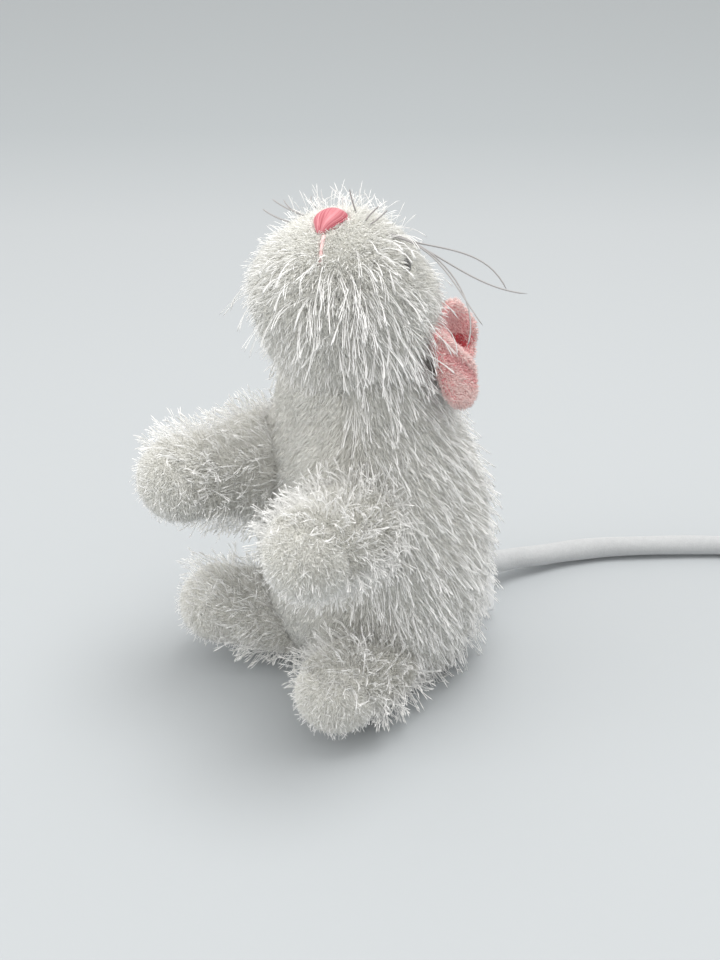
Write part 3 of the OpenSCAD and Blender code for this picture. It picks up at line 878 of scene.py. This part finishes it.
def make_whiskers():
    # For each thread: how far round the snout and along the head it starts, then where it heads
    # and how it bends and bends again, in the head's frame
    table = {
        "left": [(50, 22.5, (31, 9, -21), (2, 31, 24), (-2, -28, -20)),
                 (45, 22.5, (36, 20, -12), (-1, -22, -20), (2, 15, 16)),
                 (40, 22.0, (38, 21, -5), (11, -27, -33), (-15, -3, 19)),
                 (35, 22.0, (39, 22, -3), (-5, -43, -23), (1, 18, 11)),
                 (75, 24.8, (-1, -1, 8), (0, 1, 0), (0, 0, 0)),
                 (48, 24.6, (5, 0, 6), (1, 1, 0), (0, 0, 0)),
                 (38, 24.2, (6, 1, 4), (0, 2, 1), (0, 0, 0))],
        "right": [(20, 23.0, (15, -6, 5), (0, 5, -2), (0, 0, 0)),
                  (5, 22.0, (15, -6, 3), (0, 5, -1), (0, 0, 0)),
                  (40, 24.0, (15, -12, -1), (0, 10, 3), (0, 0, 0)),
                  (60, 24.0, (16, -10, 3), (-3, 12, -2), (0, 0, 0))],
    }
    share = np.linspace(0, 1, WHISKER_STEPS)[:, None]
    for side, rows in table.items():
        lines = []
        for turn, along, *bends in rows:
            r = head_radius(np.array(along)) - 0.5
            root = np.array([r * cos(radians(turn)), r * sin(radians(turn)), along])
            line = root + sum(share ** (power + 1) * np.array(bend) for power, bend in enumerate(bends))
            lines.append(line * [SIDES[side], 1, 1])
        path = from_head(np.array(lines))
        width = np.broadcast_to(np.linspace(*WHISKER_WIDTHS, WHISKER_STEPS), path.shape[:2])
        up = np.broadcast_to(UP, (len(rows), 3))
        threads = tubes(f"whisker_threads_{side}", path, width, up, [WHISKER], edges=6)
        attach(threads, "head")
        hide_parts(f"whiskers_{side}")


# ---- ears ----

EAR_R = 13.2
EAR_T = 2.4
EAR_DENSITY = 9.0
EAR_FUZZ_WIDTH = (0.26, 0.22, 0)
EAR_TONES = EAR_PILE + EAR_PALE + EAR_PAINTED_LIGHT + EAR_PAINTED_SHADE
EAR_MIDDLE = np.array([20.6, 1.9, 103.1])
EAR_ALONG = unit([-0.078, 0.775, -0.625])
EAR_OUT = unit(np.cross(EAR_ALONG, [-0.584, 0.471, 0.657]))
EAR_UP = np.cross(EAR_OUT, EAR_ALONG)


def from_ridge(p, q):
    """How far above the ear's folded ridge a point is; the ridge slants across the ear."""
    return q + 0.05 * p + 1.6


def ear_height(p, q):
    """How far the folded ear stands out, along the fold (p) and across it (q)."""
    above = from_ridge(p, q)
    ridge = 2.0 * bell(above, 2.2) * (1 - 0.4 * smooth((p - 5) / 8))
    crease = -3.2 * bell(above - 7.2, 2.8) * (0.3 + 0.7 * bell(p - 8, 6))
    lower = 1.2 * bell(above + 6, 5)
    rim = 4.2 * smooth((np.hypot(p, q) / EAR_R - 0.55) / 0.45) * smooth(above / 5)
    return ridge + crease + lower + rim * smooth((p + EAR_R) / EAR_R)


def ear_outline(turn):
    """The ear's radius: longer below, full above, with a notch where the fold meets the edge."""
    turn = (turn + pi) % (2 * pi) - pi
    below = 2.6 * smooth(-np.sin(turn) * 1.1)
    above = 1.2 * bell(turn - 0.6, 0.5)
    notch = 2.8 * bell(turn - 0.02, 0.28)
    base = 3.5 * bell(turn + 2.5, 0.6)
    return EAR_R + below + above - notch - base


def ear_surface(layer):
    share = np.linspace(0.02, 1, 30)
    turns = np.linspace(0, 2 * pi, 113)
    r, turn = np.meshgrid(share, turns, indexing="ij")
    p, q = ear_outline(turn) * r * np.cos(turn), ear_outline(turn) * r * np.sin(turn)
    narrow = 0.6 + 0.4 * smooth((p + EAR_R) / EAR_R)
    thick = EAR_T / 2 * np.sqrt(1 - r ** 8)
    w = ear_height(p, q) + layer * thick
    return EAR_MIDDLE + (p[..., None] * EAR_ALONG + (q * narrow)[..., None] * EAR_UP + w[..., None] * EAR_OUT)


def ear_tones(offset, front, rng):
    """Shades for the ear's pile: pale on the ridge and the rim; lighter above the ridge, a painted light;
    deep red in the crease, a painted shade.
    """
    p, q = offset @ EAR_ALONG, offset @ EAR_UP
    above = from_ridge(p, q)
    edge = np.hypot(p, q) / ear_outline(np.arctan2(q, p))
    pale = (np.abs(above + 0.2) < 1.7 + 0.4 * rng.normal(size=len(p))) | (not front)
    pale |= edge + 0.05 * rng.normal(size=len(p)) > 0.86
    # Deep red in the crease is painted shade.
    deep = front & (bell(above - 7.2, 2.4) * bell(p - 7, 4.2) > 0.5 + 0.12 * rng.normal(size=len(p)))
    lower = np.where(rng.random(len(p)) < smooth((-3 - above) / 6), 3, 0)
    # Above the ridge the front takes the lighter tones: painted light on the lobe that faces away from the
    # lamps.
    tone = np.where(pale, 3, np.where(above > 0, 6, lower)) + rng.integers(0, 3, len(p))
    return np.where(deep, 9 + rng.integers(0, 2, len(p)), tone)


def make_ears():
    for number, (side, sign) in enumerate(SIDES.items()):
        rng = np.random.default_rng(SEEDS["ear"] + number)
        flip = np.array([sign, 1, 1])
        front, back = ear_surface(1) * flip, ear_surface(-1) * flip
        middle = (front + back) / 2
        for layer, surface in (("front", front), ("back", back)):
            facing = -1 if (layer == "front") == (sign > 0) else 1
            piece = shell(f"ear_{side}_{layer}_cloth", surface[:, ::facing], middle[:, ::facing], EAR_CLOTH)
            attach(piece, f"ear_{side}")
            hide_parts(f"ear_{side}_{layer}")
            roots = scatter(surface[:, ::facing], EAR_DENSITY, rng)
            path = strands(roots, rng, FUZZ, (1.0, 1.7), -UP, (0.25, 0.25), 0, 0.3, 0, 0.2)
            shade = ear_tones(roots[0] * flip - EAR_MIDDLE, layer == "front", rng)
            pile_pieces(f"ear_{side}_{layer}_pile", path, EAR_FUZZ_WIDTH, rng, EAR_TONES,
                        f"ear_{side}", shade)


# ---- tail and label ----

TAIL_ROUTE = [(0, 26, 11), (0, 34, 10.7), (0, 43, 9.8), (1, 51, 8), (3, 60, 6.2), (6, 69, 5), (10, 78, 4.3),
              (16, 88, 3.9), (24, 98, 3.7), (33, 108, 3.6), (43, 118, 3.5), (54, 127, 3.4), (67, 135, 3.3),
              (80, 141, 3.2), (94, 145, 3.1), (96.6, 145.7, 3.1)]
TAIL_ROOT_R = 3.75
TAIL_TIP_R = 2.7
TAIL_ROUNDING = 2.72     # length of the rounded end


def smooth_line(points, count):
    """A smooth curve through given points, at even shares of its length."""
    points = np.array(points, float)
    length = np.concatenate([[0], np.cumsum(np.linalg.norm(np.diff(points, axis=0), axis=1))])
    slope = np.gradient(points, length, axis=0)
    at = np.linspace(0, length[-1], count)
    i = np.clip(np.searchsorted(length, at, side="right") - 1, 0, len(points) - 2)
    step = (length[i + 1] - length[i])[:, None]
    t = ((at - length[i])[:, None]) / step
    return ((2 * t ** 3 - 3 * t ** 2 + 1) * points[i] + (t ** 3 - 2 * t ** 2 + t) * step * slope[i]
            + (-2 * t ** 3 + 3 * t ** 2) * points[i + 1] + (t ** 3 - t ** 2) * step * slope[i + 1]), at


def make_tail():
    line, at = smooth_line(TAIL_ROUTE, 240)
    total = at[-1]
    way = unit(np.gradient(line, axis=0))
    side = unit(np.cross(way, UP))
    top = np.cross(side, way)
    turn = np.linspace(0, 2 * pi, 32, endpoint=False)
    radius = TAIL_ROOT_R + (TAIL_TIP_R - TAIL_ROOT_R) * at / total
    ending = np.clip((at - total + TAIL_TIP_R) / TAIL_ROUNDING, 0, 1)
    radius = radius * np.sqrt(np.clip(1 - ending ** 2, 0, 1))
    radius = radius * np.where(at < 3, np.sqrt(np.clip(1 - (1 - at / 3) ** 2, 0.02, 1)), 1)
    wrinkle = (0.16 * np.sin(at[:, None] / 2.9 + 1.5 * np.sin(turn)) * bell(at[:, None] - 30, 22)
               + 0.12 * np.sin(at[:, None] / 6.1 + 2 * turn) + 0.1 * np.sin(at[:, None] / 15 + turn))
    r = radius[:, None] + wrinkle * (radius[:, None] / TAIL_ROOT_R) ** 2
    round_way = np.cos(turn)[:, None] * side[:, None] + np.sin(turn)[:, None] * top[:, None]
    rings = line[:, None] + r[..., None] * round_way
    rings[..., 2] = np.maximum(rings[..., 2], 0.1)
    tail = closed_body("tail_velour_tube", rings[:, ::-1], line[0] - way[0] * 0.5, line[-1], VELOUR)
    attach(tail, "tail")
    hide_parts("tail_skin")


def make_label():
    turn = radians(21)
    out = np.array([sin(turn), cos(turn), 0])
    across_way = np.array([cos(turn), -sin(turn), 0])
    height, length, gap, thick = 12.0, 13.0, 0.45, 0.3
    stand = 24.9
    share = np.linspace(0, 1, 12)
    up, down = share * (length - gap), (1 - share) * (length - gap)
    bend = np.linspace(-pi / 2, pi / 2, 9)[1:-1]
    run = np.concatenate([up, length - gap + gap * np.cos(bend), down])
    aside = np.concatenate([-gap + 0 * up, gap * np.sin(bend), gap + 0 * down])
    levels = np.linspace(2.5, 2.5 + height, 12)
    z, k = np.meshgrid(levels, np.arange(len(run)), indexing="ij")
    wave = 0.5 * np.sin(run[k] / 5) * (run[k] / length) + 0.25 * np.sin(z / 3.2) * (run[k] / length)
    place = out * (stand + run[k])[..., None] + across_way * (aside[k] + wave)[..., None] + UP * z[..., None]
    normal_way = across_way * np.sign(aside[k] + 1e-9)[..., None]
    tape = shell("label_tape", place, place - normal_way * thick * 0.5, SATIN)
    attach(tape, "torso")
    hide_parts("care_label")
    mark = make_label_mark(out, across_way)


def make_label_mark(out, across_way):
    """A plain round mark, woven into the side of the tape that faces left."""
    radius = np.array([0.02, 0.5, 0.9, 1.1, 1.1])
    lift = np.array([0.14, 0.14, 0.12, 0.05, -0.2])
    turn = np.linspace(0, 2 * pi, 24, endpoint=False)
    round_way = np.cos(turn)[:, None] * out + np.sin(turn)[:, None] * UP
    middle = 32.4 * out + 5.6 * UP + 0.75 * across_way
    rings = middle + radius[:, None, None] * round_way[None] + lift[:, None, None] * across_way
    mark = closed_body("label_mark", rings, middle + 0.14 * across_way, middle - 0.2 * across_way, LABEL_MARK)
    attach(mark, "torso")
    return mark


def dress_cad_nodes():
    """Materials for the CAD nodes that stay: the filling, the pellets, the seat and the plastic parts."""
    eye = woven("eye_plastic", (0.006, 0.005, 0.005), (0.02, 0.018, 0.018), 1.0, roughness=0.08, bump=0.02,
                Coat_Weight=0.6)
    washer = woven("washer_plastic", (0.5, 0.5, 0.48), (0.6, 0.6, 0.58), 1.0, roughness=0.4, bump=0.05)
    kinds = [("seat_panel", SEAT_CLOTH), ("pellet_pouch", SEAT_CLOTH), ("pellet_fill", PELLETS),
             ("eye_washer", washer), ("eye_", eye), ("filling", FIBRE), ("tail_core", FIBRE),
             ("mouth_stitch", MOUTH_THREAD)]
    for name, node in frame["nodes"].items():
        match = [material for word, material in kinds if word in name]
        if match and not node.hide_render:
            for slot in node.material_slots:
                slot.material = match[0]
            if not node.material_slots:
                node.data.materials.append(match[0])


FLOOR_HALF = 3.0     # in metres


def make_floor():
    corners = [(x * FLOOR_HALF, y * FLOOR_HALF, 0) for x, y in ((-1, -1), (1, -1), (1, 1), (-1, 1))]
    data = bpy.data.meshes.new("floor")
    data.from_pydata(corners, [], [(0, 1, 2, 3)])
    material, tree, shader = new_material("paper_sweep")
    nodes, links = tree.nodes, tree.links
    # Painted shade: the floor's colour darkens from 0.40 to 0.60 m beyond the toy, away from the camera.
    place = nodes.new("ShaderNodeTexCoord")
    turned = nodes.new("ShaderNodeVectorMath")
    turned.operation = "DOT_PRODUCT"
    turned.inputs[1].default_value = (-sin(AZIMUTH), cos(AZIMUTH), 0)
    links.new(place.outputs["Object"], turned.inputs[0])
    ramp = nodes.new("ShaderNodeMapRange")
    set_inputs(ramp, {"From Min": 0.40, "From Max": 0.60})
    links.new(turned.outputs["Value"], ramp.inputs["Value"])
    mix = nodes.new("ShaderNodeMix")
    mix.data_type = "RGBA"
    mix.inputs["A"].default_value = (0.43, 0.455, 0.475, 1)
    mix.inputs["B"].default_value = (0.386, 0.416, 0.436, 1)
    links.new(ramp.outputs["Result"], mix.inputs["Factor"])
    links.new(mix.outputs["Result"], shader.inputs["Base Color"])
    shader.inputs["Roughness"].default_value = 0.6
    shader.inputs["Specular IOR Level"].default_value = 0.2
    data.materials.append(material)
    link(bpy.data.objects.new("floor", data))


make_floor()
make_torso()
for limb_number, (limb_name, limb_facts) in enumerate(LIMBS.items()):
    make_limb(limb_name, limb_facts, limb_number)
make_head()
make_nose()
make_whiskers()
make_ears()
make_tail()
make_label()
dress_cad_nodes()
